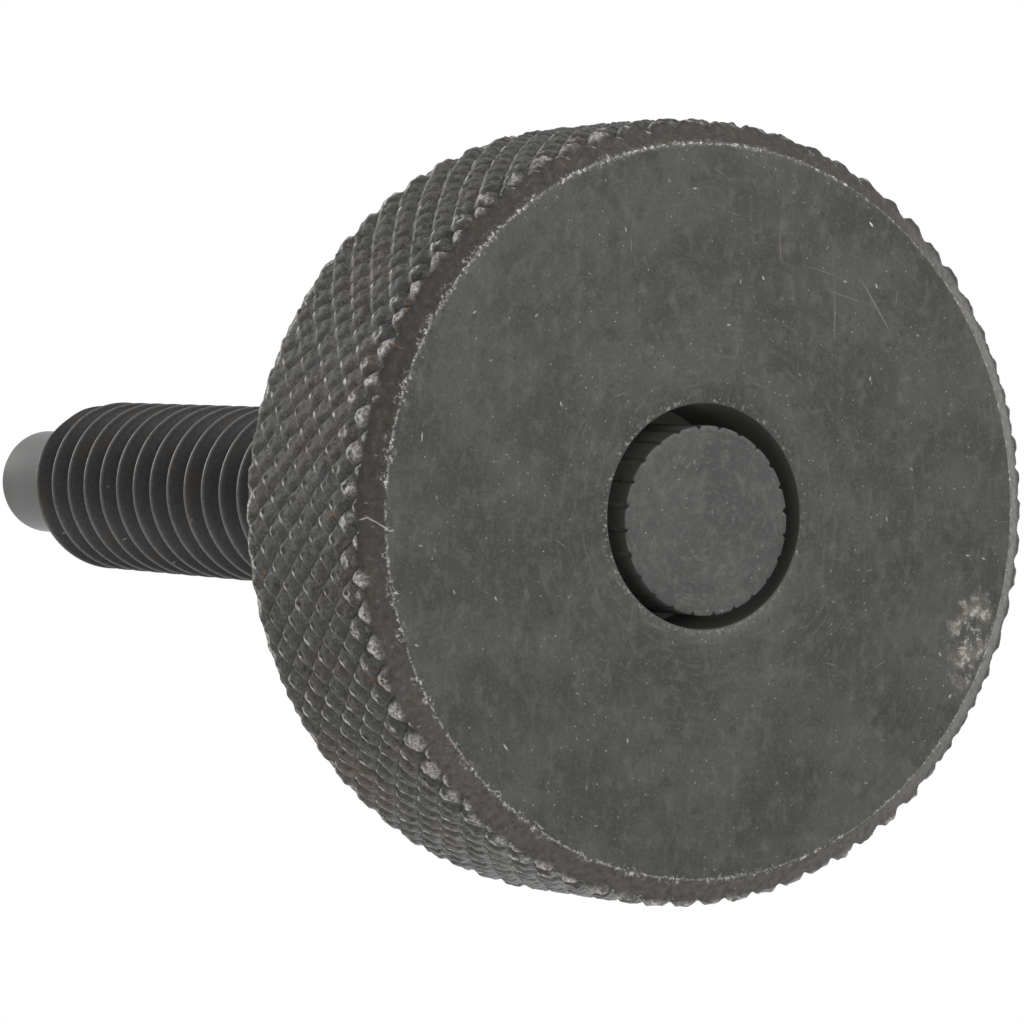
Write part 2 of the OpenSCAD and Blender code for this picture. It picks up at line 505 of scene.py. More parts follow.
class RimRecipe(Recipe):
    """A recipe for the rim, which also knows where each point lies among the diamonds."""

    def __init__(self, name: str, wheels: Wheels) -> None:
        """Start an empty material.

        Args:
            name: The finish's name.
            wheels: The wheels that pressed the knurl.
        """
        super().__init__(name)
        self.turned = self.layer(Layer.TURNED)
        self.knurled = self.turned.flipped()
        self.unrolled = self.laid(self.angle * RIM_R, self.z)
        a = self.grooves(wheels.grooves_a, wheels.rise_a, wheels.start_a, Layer.DRIFT_A)
        b = self.grooves(wheels.grooves_b, -wheels.rise_b, wheels.start_b, Layer.DRIFT_B)
        self.p, self.q = a.work("FRACT"), b.work("FRACT")  # share of the way from a groove to the next
        own = a.work("FLOOR") * wheels.grooves_b - b.work("FLOOR") * wheels.grooves_a
        lots = add(self.tree, "TexWhiteNoise", {"W": own}, noise_dimensions="1D").outputs["Color"]
        self.one, self.two, self.three = split(lots)  # each diamond's own numbers, from 0 to 1
        self.fine = self.noise(0.07, 3.0, 0.65)
        self.torn = self.noise(0.16, 3.0, 0.7)
        self.coarse = self.noise(0.3, 2.0, 0.5)
        self.clouds = self.noise(1.7, 4.0, 0.6)
        # Strength of the painted shade in the grooves and the painted highlight on the facets: weak round
        # angle -90 degrees, strong away from it
        self.crisp = abs(self.angle + math.pi / 2).step(0.2, 0.6, 0.3, 0.9)

    def grooves(self, count: int, rise: float, start: float, drift: Layer) -> Value:
        """Count the grooves of one wheel up to each point. The whole part is the groove's number."""
        return self.angle * (count / math.tau) + start + self.z * rise + self.layer(drift)

    def dash(self, middle: tuple[Any, Any], reach: tuple[Any, Any], width: Any) -> Value:
        """Draw a bar on each diamond: its middle, reach and half width are shares of the way p and q."""
        off = [abs(at - mid) - far | 0.0 for at, mid, far in zip((self.p, self.q), middle, reach)]
        return (self.away(self.laid(*off)) / width).step(0.45, 1.1, 1.0, 0.0)


def edge_wear(r: Recipe, edge_r: float) -> Value:
    """Bare specks along the edge between the face and its chamfer, most on the side that is knocked most.

    Args:
        r: The recipe.
        edge_r: Radius of the edge, in millimetres.

    Returns:
        0 on oxide to 1 on bare steel.
    """
    off = abs(r.radius - edge_r)
    knocked = (r.x * 0.35 + r.y).step(9.0, -7.0, 0.35, 1.0)
    clump = knocked * r.noise(0.7, 3.0, 0.65).step(0.40, 0.60, 0.15, 1.0)
    broken = r.noise(0.13, 2.0, 0.6).step(0.42, 0.62, 0.0, 0.75)
    line = off.step(0.01, 0.045, 0.45, 0.0) * broken * knocked
    near = (off / clump).step(0.03, 0.22, 1.0, 0.0)
    speck = r.noise(0.11, 3.0, 0.8).step(0.50, 0.68)
    return (line | near * speck) * r.front


@dataclass(frozen=True)
class TurnedOxide:
    """Black oxide on turned steel.

    The oxide is a thin dull skin that keeps the tool's fine rings, so the eye gets a near-black grey with
    faint circles, cloudy stains, pale dust, and bare steel along the sharp edges.
    """

    name: str = "black_oxide_on_turned_steel"
    base: str = "#4b4b49"
    light: str = "#5e5e5c"
    stain: str = "#343431"
    dust: str = "#a3a29e"
    fibre: str = "#6f6c66"
    bare: str = "#b9b7b1"
    rust: str = "#5d4a40"
    pit: str = "#2f2f2d"
    scuff: str = "#7d786f"
    scuff_tip: str = "#b2aea7"
    metallic: float = 0.5
    roughness: float = 0.5
    relief: float = 0.0035  # depth of the fine relief, mm
    ring_pitch: float = 0.07  # mm between turning marks
    edge_r: float = RIM_R - CHAMFER  # radius of the worn edge of the face, mm
    mouth_r: float = MOUTH_R
    marks: tuple[Mark, ...] = ()
    abraded: Point | None = None  # centre of an abraded patch, mm

    def make(self) -> bpy.types.Material:
        """Build the material.

        Returns:
            The material.
        """
        r = Recipe(self.name)
        clouds = r.noise(2.6, 5.0, 0.6)
        fine = r.noise(0.08, 2.0, 0.6)
        # The tool's rings: noise stretched round the axis, twice as coarse as they are so that they show
        rings = r.noise(2 * self.ring_pitch, 3.0, 0.6, r.laid(r.radius, r.angle * 0.55, r.z))
        wiped = r.vector("MULTIPLY", r.flat, (0.5, 1.0, 1.0))

        r.colour = linear(self.base)
        r.cover(clouds.step(0.38, 0.62, 0.75, 0.0), self.stain)
        r.cover(rings.step(0.52, 0.74) * r.radius.step(2.7, 6.0, 0.75, 0.22), self.light)
        r.cover(r.noise(0.75, 4.0, 0.62).step(0.54, 0.72, 0.0, 0.75), self.stain)
        r.cover(r.noise(0.45, 3.0, 0.6).step(0.52, 0.70, 0.0, 0.4), self.light)
        r.cover(r.noise(0.2, 3.0, 0.6).step(0.44, 0.28, 0.0, 0.5), self.stain)
        r.cover(fine.step(0.50, 0.76, 0.0, 0.5), self.light)
        r.cover(fine.step(0.46, 0.24, 0.0, 0.4), self.stain)
        r.cover(r.noise(0.3, 3.0, 0.6, wiped).step(0.50, 0.72, 0.0, 0.4), self.light)
        self.specks(r)
        if self.abraded:
            self.scuffs(r)
        for mark in self.marks:
            r.line(mark)
        r.cover(edge_wear(r, self.edge_r), self.bare)

        rough = clouds.step(0.3, 0.7, self.roughness - 0.05, self.roughness + 0.05)
        return r.finish(self.metallic, rough, rings * 0.5 + fine * 0.5, self.relief)

    def specks(self, r: Recipe) -> None:
        """Scatter fibres, rust, pits and dust, with more dust round the mouth of the counterbore.

        Args:
            r: The recipe.
        """
        r.cover(r.flecks(r.flat, 0.9, (0.42, 0.024), 0.14, 3.0), self.fibre)
        r.cover(r.flecks(r.flat, 0.62, (0.14, 0.05), 0.12, 5.0), self.rust)
        r.cover(r.flecks(r.flat, 0.5, (0.09, 0.07), 0.08, 11.0), self.pit)
        grouped = r.noise(1.3, 3.0, 0.6).step(0.45, 0.65, 0.08, 0.55)
        r.cover(r.flecks(r.flat, 0.26, (0.05, 0.035), grouped, 8.0) * 0.8, self.dust)
        r.cover(r.flecks(r.flat, 1.1, (0.13, 0.055), 0.25, 14.0), self.dust)
        mouth = abs(r.away(r.flat, MOUTH_MIDDLE) - self.mouth_r).step(0.02, 0.26, 1.0, 0.0)
        upper = (r.x - r.y).step(-2.0, 2.6, 0.35, 1.0)
        r.cover(mouth * upper * r.front * r.noise(0.11, 2.0, 0.7).step(0.55, 0.64, 0.0, 0.9), self.dust)

    def scuffs(self, r: Recipe) -> None:
        """Rub one patch of the face down to pale metal.

        Args:
            r: The recipe.
        """
        off = r.vector("SUBTRACT", r.flat, (*self.abraded, 0.0))
        off = r.away(r.vector("MULTIPLY", off, (0.62, 1.0, 1.0)))
        scuffed = off.step(0.35, 1.05, 1.0, 0.0) * r.front
        r.cover(scuffed * r.noise(0.6, 4.0, 0.75).step(0.44, 0.60, 0.0, 0.75), self.scuff)
        r.cover(scuffed * r.noise(0.3, 4.0, 0.8).step(0.52, 0.64, 0.0, 0.85), self.scuff_tip)


@dataclass(frozen=True)
class KnurledOxide:
    """Black oxide on pressed knurling, and on the turned chamfer in front of it.

    The wheels leave low, torn diamonds, and handling rubs the tip of each one bright, so the eye gets a dull
    dark grey with a small pale dash on each diamond, thin broken dark grooves, and dirt with threads of rust.
    """

    name: str = "black_oxide_on_knurled_steel"
    base: str = "#434240"
    light: str = "#62605d"
    brown: str = "#463e35"
    # Dark: grain, and painted shade in the grooves, in the dents and under the lip
    groove: str = "#141311"
    # Bare steel; on the diamonds' tips it is also painted highlight
    bare: str = "#d2cfc9"
    # Painted highlight on one facet of each diamond
    facet_highlight: str = "#6f6c68"
    rust: str = "#84572f"
    dirt: str = "#65492f"
    chamfer: str = "#3c3a37"
    # Painted highlight on the right of the chamfer
    chamfer_highlight: str = "#7b7a75"
    dust: str = "#8f8c86"
    metallic: float = 0.25
    roughness: float = 0.6
    relief: float = 0.030  # depth of the fine relief, mm
    wheels: Wheels = Wheels()
    edge_r: float = RIM_R - CHAMFER
    row_end: float = 1.25  # end of the front row, whose tips are rubbed most, mm
    dirt_at: Point = (-22.3, 4.8)  # middle of the dirtiest patch, on the rim unrolled, mm
    threads: tuple[Mark, ...] = ()  # of rust, on the rim unrolled from the x axis
    fibres: tuple[Mark, ...] = ()  # over the chamfer

    def make(self) -> bpy.types.Material:
        """Build the material.

        Returns:
            The material.
        """
        r = RimRecipe(self.name, self.wheels)
        r.colour = linear(self.base)
        r.cover(r.clouds.step(0.50, 0.68, 0.0, 0.7), self.brown)
        r.cover((r.coarse * 0.3 + r.fine * 0.7).step(0.49, 0.62, 0.0, 0.85), self.light)
        r.cover(r.torn.step(0.46, 0.30, 0.0, 0.8), self.groove)
        pressed = self.pressed(r)
        self.band(r)
        self.stains(r)
        rub_and_glint = self.bare_and_lit_tips(r)
        r.cover(edge_wear(r, self.edge_r), self.bare)

        grainy = (r.torn * 1.1 + r.fine) * r.turned.step(0.0, 1.0, 0.6, 0.3)
        rough = r.turned.step(0.0, 1.0, self.roughness, self.roughness - 0.2)
        return r.finish(self.metallic, rough, rub_and_glint * 0.5 - pressed + grainy, self.relief,
                        **{"Specular IOR Level": 0.3})

    def pressed(self, r: RimRecipe) -> Value:
        """Darken with painted shade the bottoms of the grooves, in broken lines, and a dent behind each
        diamond's tip.

        Args:
            r: The recipe.

        Returns:
            How deep they lie, from 0 at the surface.
        """
        # Painted shade in the grooves: stronger past -50 degrees in the first wheel's grooves, and as strong
        # as crisp in the second's
        bite = r.angle.step(math.radians(-80), math.radians(-50), 0.2, 0.7)
        line_a = (r.p & r.p.flipped()).step(0.0, 0.10, 1.0, 0.0) * r.torn.step(0.42, 0.58, bite, 0.9)
        line_b = (r.q & r.q.flipped()).step(0.0, 0.11, 1.0, 0.0) * r.coarse.step(0.56, 0.42, 0.0, r.crisp)
        lines = (line_a | line_b) * r.knurled
        r.cover(lines, self.groove)
        # Painted shade in a dent on each diamond and in a pit at the edge of its groove
        dent = r.dash((r.two * 0.15 + 0.62, 0.40), (0.10, 0.02), 0.13) * (r.three * 0.6 + 0.4)
        pit = r.dash((r.three * 0.2 + 0.78, 0.97), (0.10, 0.0), 0.11) * (r.two * 0.5 + 0.5)
        dents = (dent | pit) * r.knurled * r.torn.step(0.66, 0.44, 0.3, 1.0)
        r.cover(dents, self.groove)
        return lines * 0.2 + dents * 0.8

    def band(self, r: RimRecipe) -> None:
        """Lay the turned chamfer: browner and smoother, with a painted shadow under the lip of the knurl,
        painted shade over the front row and a painted highlight along the chamfer on the right, and lighter
        towards -x.

        Args:
            r: The recipe.
        """
        r.cover(r.turned * r.fine.step(0.3, 0.7, 1.0, 0.8), self.chamfer)
        r.cover(r.turned * r.coarse.step(0.48, 0.68, 0.0, 0.6), self.brown)
        r.cover(r.turned * r.torn.step(0.52, 0.70, 0.0, 0.5), self.light)
        r.cover(r.turned * r.torn.step(0.46, 0.30, 0.0, 0.4), self.groove)
        right = r.y.step(4.5, 8.3)
        # Painted highlight along the right of the chamfer, near the face
        chamfer_highlight = right * r.z.step(0.33, 0.10) * r.torn.step(0.35, 0.6, 0.45, 1.0)
        r.cover(r.turned * chamfer_highlight, self.chamfer_highlight)
        # Painted shadow on the chamfer under the lip of the knurl
        r.cover(r.turned * r.z.step(0.24, 0.35, 0.0, 0.4), self.groove)
        r.cover(r.flecks(r.unrolled, 0.3, (0.07, 0.05), 0.2, 2.0) * 0.7, self.dust)
        # Painted shade over the top of the chamfer and the front row on the right side
        r.cover(r.z.step(0.18, 0.30) * r.front * right * 0.8, self.groove)
        low = r.x.step(-2.0, -8.0, 0.0, 0.6)
        r.cover(r.turned * low * r.torn.step(0.35, 0.6, 0.4, 1.0), self.light)

    def stains(self, r: RimRecipe) -> None:
        """Gather old dirt in one patch of the knurl, and lay short threads and specks of rust.

        Args:
            r: The recipe.
        """
        patch = r.away(r.unrolled, self.dirt_at).step(0.4, 1.9, 1.0, 0.0)
        r.cover(patch * r.torn.step(0.45, 0.62, 0.0, 0.5) * r.knurled, self.dirt)
        r.cover(r.flecks(r.unrolled, 1.3, (0.40, 0.08), 0.15, 4.0) * r.clouds.step(0.42, 0.5), self.rust)
        for mark in self.threads:
            r.line(mark, r.unrolled)
        r.cover(r.flecks(r.unrolled, 0.5, (0.14, 0.06), 0.12, 9.0) * 0.7, self.rust)

    def bare_and_lit_tips(self, r: RimRecipe) -> Value:
        """Rub the tips bare, with painted highlight on them: a dash on the same side of each diamond, with an
        arm round its tip on some.

        Args:
            r: The recipe.

        Returns:
            0 on oxide to 1 on the rubbed tips, bare and painted highlight.
        """
        low = r.angle.step(math.radians(-125), math.radians(-100), 1.0, 0.0)
        width = r.two * 0.035 + (low * 0.045 + 0.095)
        reach = r.angle.step(math.radians(-75), math.radians(-50), 0.11, 0.02) + low * 0.06
        side = r.dash((r.two * -0.12 + 0.80, r.one * 0.08 + 0.15), (reach, 0.0), width)
        arm = r.dash((0.91, 0.28), (0.0, 0.08), width) * r.three.step(0.6, 0.9, 0.0, 0.8)
        front_row = r.z.step(self.row_end - 0.4, self.row_end, 1.0, 0.0)
        lump = r.dash((r.one * 0.1 + 0.64, 0.34), (0.16, 0.08), 0.24) * front_row * r.torn.step(0.42, 0.56)
        # Bare wear and painted highlight on the tips
        rub_and_glint = (side | arm) * (r.one * 0.45 + 0.55) | lump * 0.8
        rub_and_glint = rub_and_glint * r.fine.step(0.36, 0.56, 0.3, 1.0) * r.knurled
        # Painted highlight: a lighter facet on one side of each diamond, stronger away from angle -90 degrees
        r.cover(r.dash((0.6, 0.15), (0.32, 0.0), 0.13) * r.knurled * r.crisp, self.facet_highlight)
        r.cover(rub_and_glint, self.bare)
        r.cover(r.layer(Layer.WEAR) * r.fine.step(0.36, 0.6, 0.15, 1.0), self.bare)
        for mark in self.fibres:
            r.line(mark)
        return rub_and_glint


@dataclass(frozen=True)
class RolledOxide:
    """Black oxide on a rolled thread, or on the ground point past it.

    Rolling leaves the flanks smooth and the oxide stays black in the grooves, while the crests are rubbed to
    a thin grey line. The point is ground, so it is paler and has a satin sheen.
    """

    name: str = "black_oxide_on_rolled_thread"
    base: str = "#232323"
    light: str = "#2d2c2b"
    crest: str = "#585653"
    tint: str = "#2f2a26"
    dust: str = "#7d7c79"
    rust: str = "#54423a"
    deep: str | None = None  # painted light: a lighter colour deep in a hole, standing in for the light thrown back from its walls
    notch: str = "#b4b4b0"  # painted light in the same way, at the bottoms of the serrations
    metallic: float = 0.55
    roughness: float = 0.42
    relief: float = 0.002  # depth of the fine relief, mm
    unrolled_r: float = 2.4  # radius at which the surface is laid flat for the flecks, mm

    def make(self) -> bpy.types.Material:
        """Build the material.

        Returns:
            The material.
        """
        r = Recipe(self.name)
        fine = r.noise(0.11, 3.0)
        height = r.layer(Layer.HEIGHT)
        unrolled = r.laid(r.angle * self.unrolled_r, r.z)
        r.colour = linear(self.base)
        r.cover(fine.step(0.4, 0.7), self.light)
        r.cover(r.noise(1.8, 4.0).step(0.54, 0.7, 0.0, 0.7), self.tint)
        if self.deep:
            # Painted light: lighter deep in the hole and at the bottoms of the serrations, where shade falls
            r.cover(r.z.step(0.1, 1.6), self.deep)
            r.cover(height.step(0.1, 0.95, 0.35, 0.0) * r.z.step(0.1, 0.6), self.notch)
        r.cover(r.layer(Layer.WEAR) * fine.step(0.25, 0.55, 0.45, 1.0), self.crest)
        r.cover(r.flecks(unrolled, 0.9, (0.08, 0.05), 0.3, 2.0), self.dust)
        r.cover(r.flecks(unrolled, 1.5, (0.2, 0.12), 0.12, 6.0), self.rust)
        rough = height.step(0.0, 1.0, self.roughness + 0.08, self.roughness)
        return r.finish(self.metallic, rough, fine, self.relief)


@dataclass(frozen=True)
class FloorPaper:
    """White seamless paper. Matt, so it only takes the screw's soft shadow.

    It shows from above only: the head's outer face lies on it, and from below that face is seen.
    """

    name: str = "white_seamless_paper"
    colour: str = "#f2f2f2"

    def make(self) -> bpy.types.Material:
        """Build the material.

        Returns:
            The material.
        """
        r = Recipe(self.name)
        t = r.tree
        tone = r.noise(1.1).step(0.3, 0.7, 0.985, 1.0)
        paper = add(t, "BsdfDiffuse", {"Color": r.vector("SCALE", linear(self.colour)[:3], scale=tone)})
        above = Value(add(t, "NewGeometry").outputs["Backfacing"]).flipped()
        seen = above * add(t, "LightPath").outputs["Is Camera Ray"]
        add(t, "OutputMaterial", {0: add(t, "MixShader", {0: seen, 1: add(t, "BsdfTransparent"), 2: paper})})
        return r.material


# ---------------------------------------------------------------- the screw


@dataclass(frozen=True)
class Seat:
    """Where the stud sits: pressed in a hair off the middle of the head, and leaning a little."""

    x: float = -0.18  # at the head's outer face, mm
    y: float = 0.056
    slope: float = 0.50 / 37.3  # mm of x in a millimetre along the axis

    def at(self, z: float) -> tuple[float, float]:
        """Middle of the stud at this height."""
        return self.x + self.slope * z, self.y


# Scratches on the face, a fibre stuck across its edge, and threads of rust on the rim unrolled
SCRATCHES = (
    Mark((5.91, 4.17), (4.47, 5.21), 0.022, "#85827b", 0.6),
    Mark((5.70, 3.48), (3.99, 3.54), 0.018, "#7d7a73", 0.55),
    Mark((6.87, 1.83), (6.05, 1.93), 0.020, "#7d6a5c", 0.6),
    Mark((6.08, 2.54), (5.83, 3.68), 0.016, "#7a776f", 0.5),
    Mark((5.57, 3.02), (5.21, 4.44), 0.016, "#7a776f", 0.5),
    Mark((7.23, 4.42), (7.10, 4.55), 0.028, "#cfcdc7", 0.9),
    Mark((-5.55, -5.41), (-5.72, -5.26), 0.024, "#bdbbb5", 0.8),
    Mark((1.43, -7.84), (1.70, -7.84), 0.020, "#b3b1ab", 0.8),
)
FIBRE = tuple(Mark(start, end, 0.020, "#aeaca6", 0.8) for start, end in (
    ((-0.42, -9.28), (-0.33, -9.04)), ((-0.33, -9.14), (-0.49, -8.84)),
    ((-0.44, -8.94), (-0.67, -8.58)), ((-0.65, -8.66), (-0.62, -8.48))))
RUST_THREADS = tuple(Mark(start, end, 0.034, "#6b4d30", 0.7) for start, end in (
    ((-19.34, 0.72), (-19.25, 1.20)), ((-15.33, 1.00), (-15.22, 1.72)), ((-14.00, 3.85), (-14.30, 4.15)),
    ((-19.20, 0.40), (-18.95, 0.85)), ((-11.10, 0.15), (-10.95, 0.60))))


class HeadFinish(IntEnum):
    """The head's finishes, by their numbers on its faces."""

    FACE = 0  # the turned face and back
    RIM = 1  # the knurl, and the chamfer in front of it
    HOLE = 2  # the inside of the counterbore and the bore


@dataclass
class KnurledHead:
    """The round head: a turned blank, diamond knurled round its rim and counterbored in its face."""

    seat: Seat
    wheels: Wheels
    width: float = 5.85
    chamfer_width: float = 0.45
    back_chamfer: float = 0.3
    counterbore_depth: float = 3.2
    bore_r: float = 2.29
    bore_break: float = 0.15
    depth: float = 0.13  # of the grooves
    allowance: float = 0.006  # how far the highest tips stay under the outer radius
    rounding: float = 0.05  # how far the front row falls away to the chamfer
    lip_z: float = 0.355  # where the pressed metal stands up from the chamfer
    columns: int = 960  # points round the rim
    rows: int = 78  # rings over the knurl
    plain: int = 160  # points round the rings away from the knurl
    crisp: float = 34.0  # an edge over this many degrees stays crisp

    @property
    def face_r(self) -> float:
        """Radius of the face, inside its chamfer."""
        return RIM_R - CHAMFER

    @property
    def back_z(self) -> float:
        """Height at which the back chamfer starts."""
        return self.width - self.back_chamfer

    def knurl(self, angle: Array, z: Array) -> tuple[Array, Array, Array]:
        """Relief of the knurl over the rim.

        Args:
            angle: Angle round the axis, in radians.
            z: Height along the axis, in millimetres.

        Returns:
            Height from 0 in a groove to 1 on top, and how far the grooves of each wheel wander.
        """
        w = self.wheels
        at = around(angle, RIM_R, z)
        drift_a = 0.05 * grain(at, 1.1, 1) + 0.045 * grain(at, 0.35, 3)
        drift_b = 0.05 * grain(at, 1.1, 2) + 0.045 * grain(at, 0.35, 4)
        a = w.grooves_a * angle / (2 * np.pi) + w.rise_a * z + w.start_a + drift_a
        b = w.grooves_b * angle / (2 * np.pi) - w.rise_b * z + w.start_b + drift_b
        p, q = a - np.floor(a), b - np.floor(b)
        cut_a = 0.95 * (1 - ramp(np.minimum(p, 1 - p), -0.03, 0.30))
        cut_b = 0.75 * (1 - ramp(np.minimum(q, 1 - q), -0.05, 0.36))
        top = (1 - cut_a) * (1 - cut_b)
        dent = np.exp(-((p - 0.60) ** 2 + (q - 0.42) ** 2) / 0.03)
        height = top * (0.86 + 0.25 * (p - q) - 0.22 * dent)
        height = height + 0.17 * grain(at, 0.17, 5) + 0.12 * grain(at, 0.3, 6)
        return np.clip(height, 0, 1), drift_a, drift_b

    def rim_row(self, skin: Skin, z: float) -> range:
        """Add one ring of the rim, chamfers included.

        Args:
            skin: The skin.
            z: Height of the ring, in millimetres.

        Returns:
            The numbers of its points.
        """
        angle = spread(self.columns)
        zs = np.full(self.columns, z)
        height, drift_a, drift_b = self.knurl(angle, zs)
        full = RIM_R - self.allowance
        # The wheels bit deeper along the front and on one side
        bite = ramp(angle - 2 * np.pi, math.radians(-80), math.radians(-45))
        depth = self.depth * (1 + 0.5 * (1 - ramp(zs, 0.7, 1.1)) + 0.5 * bite)
        surface = full - depth * (1 - height) - self.rounding * (1 - ramp(zs, 0.3, 0.7))
        at = around(angle, self.face_r, 0 * zs)
        aside = FACE_MIDDLE[0] * np.cos(angle) + FACE_MIDDLE[1] * np.sin(angle)
        line = np.minimum(self.face_r + aside + z * CHAMFER / self.chamfer_width, full)
        lip = self.lip_z + 0.05 * grain(at, 0.6, 11) + 0.03 * grain(at, 0.2, 12)
        front = line + (full - line) * ramp(zs - lip, -0.02, 0.03)
        radius = np.minimum(np.minimum(surface, front), full - max(0.0, z - self.back_z))
        turned = ramp(surface - front, -0.01, 0.02)
        turned = np.maximum(turned, ramp(zs, self.back_z + 0.03, self.back_z + 0.12))
        # The back edge and the torn lip are rubbed, the lip most on the side away from the x axis
        rim = ramp(np.abs(zs - self.back_z), 0.08, 0.0) * ramp(grain(at, 0.4, 13), -0.9, 0.1)
        lipped = ramp(np.abs(zs - lip - 0.06), 0.14, 0.05) * ramp(zs - lip, -0.04, 0.0)
        lipped = lipped * ramp(height, 0.25, 0.6) * (1 - 0.4 * turned)
        lipped = lipped * ramp(grain(at, 0.3, 14) + 0.7 * ramp(-np.cos(angle), 0.35, 0.75), -0.4, 0.4)
        marks = {Layer.HEIGHT: height, Layer.TURNED: turned, Layer.WEAR: np.maximum(rim, 0.6 * lipped),
                 Layer.DRIFT_A: drift_a, Layer.DRIFT_B: drift_b}
        return skin.ring(around(angle, radius, zs), marks)

    def build(self) -> bpy.types.Object:
        """Build and dress the head.

        Returns:
            The head.
        """
        skin = Skin()
        seat_z = self.counterbore_depth
        bore = skin.circle(self.bore_r, seat_z, self.plain, self.seat.at(seat_z))
        walls = [(MOUTH_R, z) for z in (seat_z, 1.6, 0.5, 0.05)]
        mouth = [(MOUTH_R + 0.012, 0.015), (MOUTH_R + 0.04, 0.0)]
        face = [(r, 0.0) for r in (3.2, 4.6, 6.0, 7.4, 8.5)]
        edge = [(self.face_r - inset, 0.0) for inset in (0.09, 0.025)]
        last = skin.grow(bore, walls + mouth, self.plain, MOUTH_MIDDLE, HeadFinish.HOLE)
        last = skin.grow(last, face, self.plain)
        last = skin.grow(last, edge, self.columns, FACE_MIDDLE)
        chamfer = (0.014, 0.06, 0.13, 0.2, 0.27, 0.31, 0.335, 0.36, 0.385, 0.42)
        beyond = (self.back_z + 0.05, self.back_z + 0.11, self.back_z + 0.2, self.width)
        for z in (*chamfer, *np.linspace(0.46, self.back_z, self.rows), *beyond):
            ring = self.rim_row(skin, float(z))
            skin.join(last, ring, HeadFinish.RIM)
            last = ring
        back = [(r, self.width) for r in (9.0, 6.0)]
        broken = [(self.bore_r + self.bore_break, self.width), (self.bore_r, self.width - self.bore_break)]
        last = skin.grow(last, back, self.plain)
        last = skin.grow(last, broken, self.plain, self.seat.at(self.width))
        skin.join(last, bore, HeadFinish.HOLE)
        finishes = {
            HeadFinish.FACE: TurnedOxide(marks=SCRATCHES + FIBRE, abraded=(-3.0, 7.9)),
            HeadFinish.RIM: KnurledOxide(wheels=self.wheels, threads=RUST_THREADS, fibres=FIBRE),
            # deep: painted light deep in the counterbore
            HeadFinish.HOLE: RolledOxide(name="black_oxide_in_drilled_bore", base="#424240",
                                         light="#484846", tint="#43413e", deep="#a8a8a4", roughness=0.6,
                                         metallic=0.2),
        }
        materials = [finishes[finish].make() for finish in HeadFinish]
        made = skin.build("head_skin", materials, self.crisp)
        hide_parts("knurled_head")
        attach(made, "root")
        return made


class StudFinish(IntEnum):
    """The stud's finishes, by their numbers on its faces."""

    THREAD = 0
    END = 1  # the cut end face
    POINT = 2
    SIDE = 3  # the side of the serrated end


